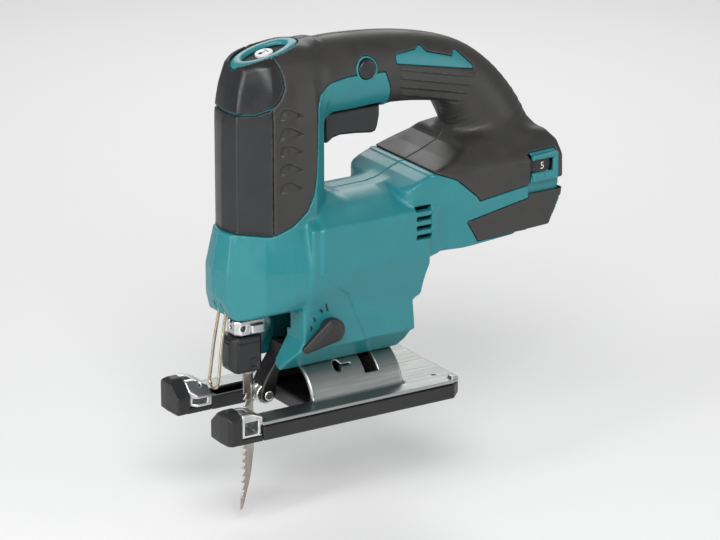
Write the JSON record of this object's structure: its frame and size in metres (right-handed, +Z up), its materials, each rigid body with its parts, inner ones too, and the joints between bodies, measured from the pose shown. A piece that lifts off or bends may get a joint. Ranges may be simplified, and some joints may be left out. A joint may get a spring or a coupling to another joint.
{
  "type": "cordless jigsaw",
  "caption": "Cordless top-handle jigsaw with tilting base, moving plunger and blade, blade guide roller, trigger, selector lever and speed dial.",
  "frame": {"origin": "centre of the sole's underside, under the middle of the body", "axes": "+Z up from the sole to the handle; -X towards the blade, +X towards the battery end; +Y to the right-hand side, away from the selector lever"},
  "size_m": [0.2165, 0.076, 0.263],
  "materials": {
    "teal_plastic": "moulded nylon, teal, fine texture",
    "dark_rubber": "soft overmould, dark grey",
    "black_plastic": "moulded plastic, black",
    "gloss_black": "polished black window",
    "white_plastic": "white button",
    "plated_steel": "zinc-plated steel",
    "blade_steel": "bare tool steel",
    "dark_steel": "blackened steel",
    "cast_aluminium": "die-cast aluminium",
    "copper_alloy": "copper",
    "bronze_alloy": "sintered bronze"
  },
  "bodies": {
    "housing": {"left_housing": "teal_plastic", "right_housing": "teal_plastic", "left_handle_insert": "teal_plastic", "right_handle_insert": "teal_plastic", "top_ring": "teal_plastic", "dial_bezel": "teal_plastic", "left_grip": "dark_rubber", "right_grip": "dark_rubber", "front_cover": "black_plastic", "top_cap": "black_plastic", "left_rear_panel": "black_plastic", "right_rear_panel": "black_plastic", "switch_body": "black_plastic", "terminal_block": "black_plastic", "display_panel": "gloss_black", "wire_guard": "plated_steel", "arm_pivot": "plated_steel", "front_bearing": "plated_steel", "rear_bearing": "plated_steel", "controller": "dark_steel", "clamp_plate": "dark_steel", "base_bolt": "dark_steel", "housing_screw_1": "dark_steel", "housing_screw_2": "dark_steel", "housing_screw_3": "dark_steel", "housing_screw_4": "dark_steel", "gear_housing": "cast_aluminium", "left_contact": "copper_alloy", "right_contact": "copper_alloy", "stator": "copper_alloy", "axle_bush": "bronze_alloy", "upper_bush": "bronze_alloy", "lower_bush": "bronze_alloy"},
    "base": {"base_plate": "plated_steel", "sole_cover": "black_plastic", "left_shoe": "cast_aluminium", "right_shoe": "cast_aluminium", "left_cap": "black_plastic", "right_cap": "black_plastic"},
    "plunger": {"plunger": "plated_steel", "plunger_yoke": "dark_steel", "clamp_holder": "cast_aluminium", "blade_socket": "bronze_alloy", "saw_blade": "blade_steel"},
    "release_lever": {"release_lever": "black_plastic"},
    "balance_plate": {"balance_plate": "dark_steel"},
    "crank": {"crank_gear": "plated_steel"},
    "rotor": {"rotor_core": "dark_steel", "motor_shaft": "plated_steel", "fan": "black_plastic"},
    "trigger": {"trigger": "black_plastic", "trigger_spring": "plated_steel"},
    "lock_button": {"lock_button": "black_plastic"},
    "mode_button": {"mode_button": "white_plastic"},
    "speed_dial": {"speed_dial": "black_plastic"},
    "orbital_selector": {"orbital_lever": "black_plastic", "cam_shaft": "dark_steel"},
    "roller_arm": {"roller_arm": "dark_steel", "roller_pin": "plated_steel"},
    "roller": {"guide_roller": "plated_steel"}
  },
  "joints": [
    {"name": "base_tilt", "type": "hinge", "parent": "housing", "child": "base", "pos_m": [0, 0, 0.004], "axis": [1, 0, 0], "range_deg": [-45, 45]},
    {"name": "plunger_stroke", "type": "slide", "parent": "housing", "child": "plunger", "axis": [0, 0, 1], "range_m": [-0.003, 0.023]},
    {"name": "balance_slide", "type": "slide", "parent": "housing", "child": "balance_plate", "axis": [0, 0, 1], "range_m": [-0.00708, 0.00092]},
    {"name": "crank_spin", "type": "hinge", "parent": "housing", "child": "crank", "pos_m": [-0.018, 0, 0.1139], "axis": [1, 0, 0], "continuous": true},
    {"name": "rotor_spin", "type": "hinge", "parent": "housing", "child": "rotor", "pos_m": [0.017, 0, 0.094], "axis": [1, 0, 0], "continuous": true},
    {"name": "blade_release", "type": "hinge", "parent": "plunger", "child": "release_lever", "pos_m": [-0.0415, 0, 0.038], "axis": [0, 0, 1], "range_deg": [0, 30], "stiffness_Nm_per_rad": 0.05, "springref_deg": -17.19},
    {"name": "trigger_pull", "type": "slide", "parent": "housing", "child": "trigger", "axis": [0, 0, 1], "range_m": [0, 0.0048], "stiffness_N_per_m": 900, "springref_m": -0.003, "deforming": ["trigger_spring"]},
    {"name": "lock_push", "type": "slide", "parent": "housing", "child": "lock_button", "axis": [0, 1, 0], "range_m": [-0.0025, 0.0025]},
    {"name": "mode_press", "type": "slide", "parent": "housing", "child": "mode_button", "axis": [0.2334, 0, -0.9724], "range_m": [0, 0.0008], "stiffness_N_per_m": 800, "springref_m": -0.0006},
    {"name": "speed_turn", "type": "hinge", "parent": "housing", "child": "speed_dial", "pos_m": [0.125, -0.0255, 0.124], "axis": [0, 0, 1], "range_deg": [-216, 54]},
    {"name": "orbital_turn", "type": "hinge", "parent": "housing", "child": "orbital_selector", "pos_m": [-0.007, -0.0274, 0.052], "axis": [0, 1, 0], "range_deg": [0, 90]},
    {"name": "roller_arm_swing", "type": "hinge", "parent": "housing", "child": "roller_arm", "pos_m": [-0.019, 0, 0.036], "axis": [0, 1, 0], "range_deg": [-3, 0]},
    {"name": "roller_spin", "type": "hinge", "parent": "roller_arm", "child": "roller", "pos_m": [-0.032, 0, 0.0115], "axis": [0, 1, 0], "continuous": true}
  ],
  "couplings": [
    {"joint": "rotor_spin", "follows": "crank_spin", "ratio": -6},
    {"joint": "balance_slide", "follows": "plunger_stroke", "ratio": -0.30769}
  ]
}
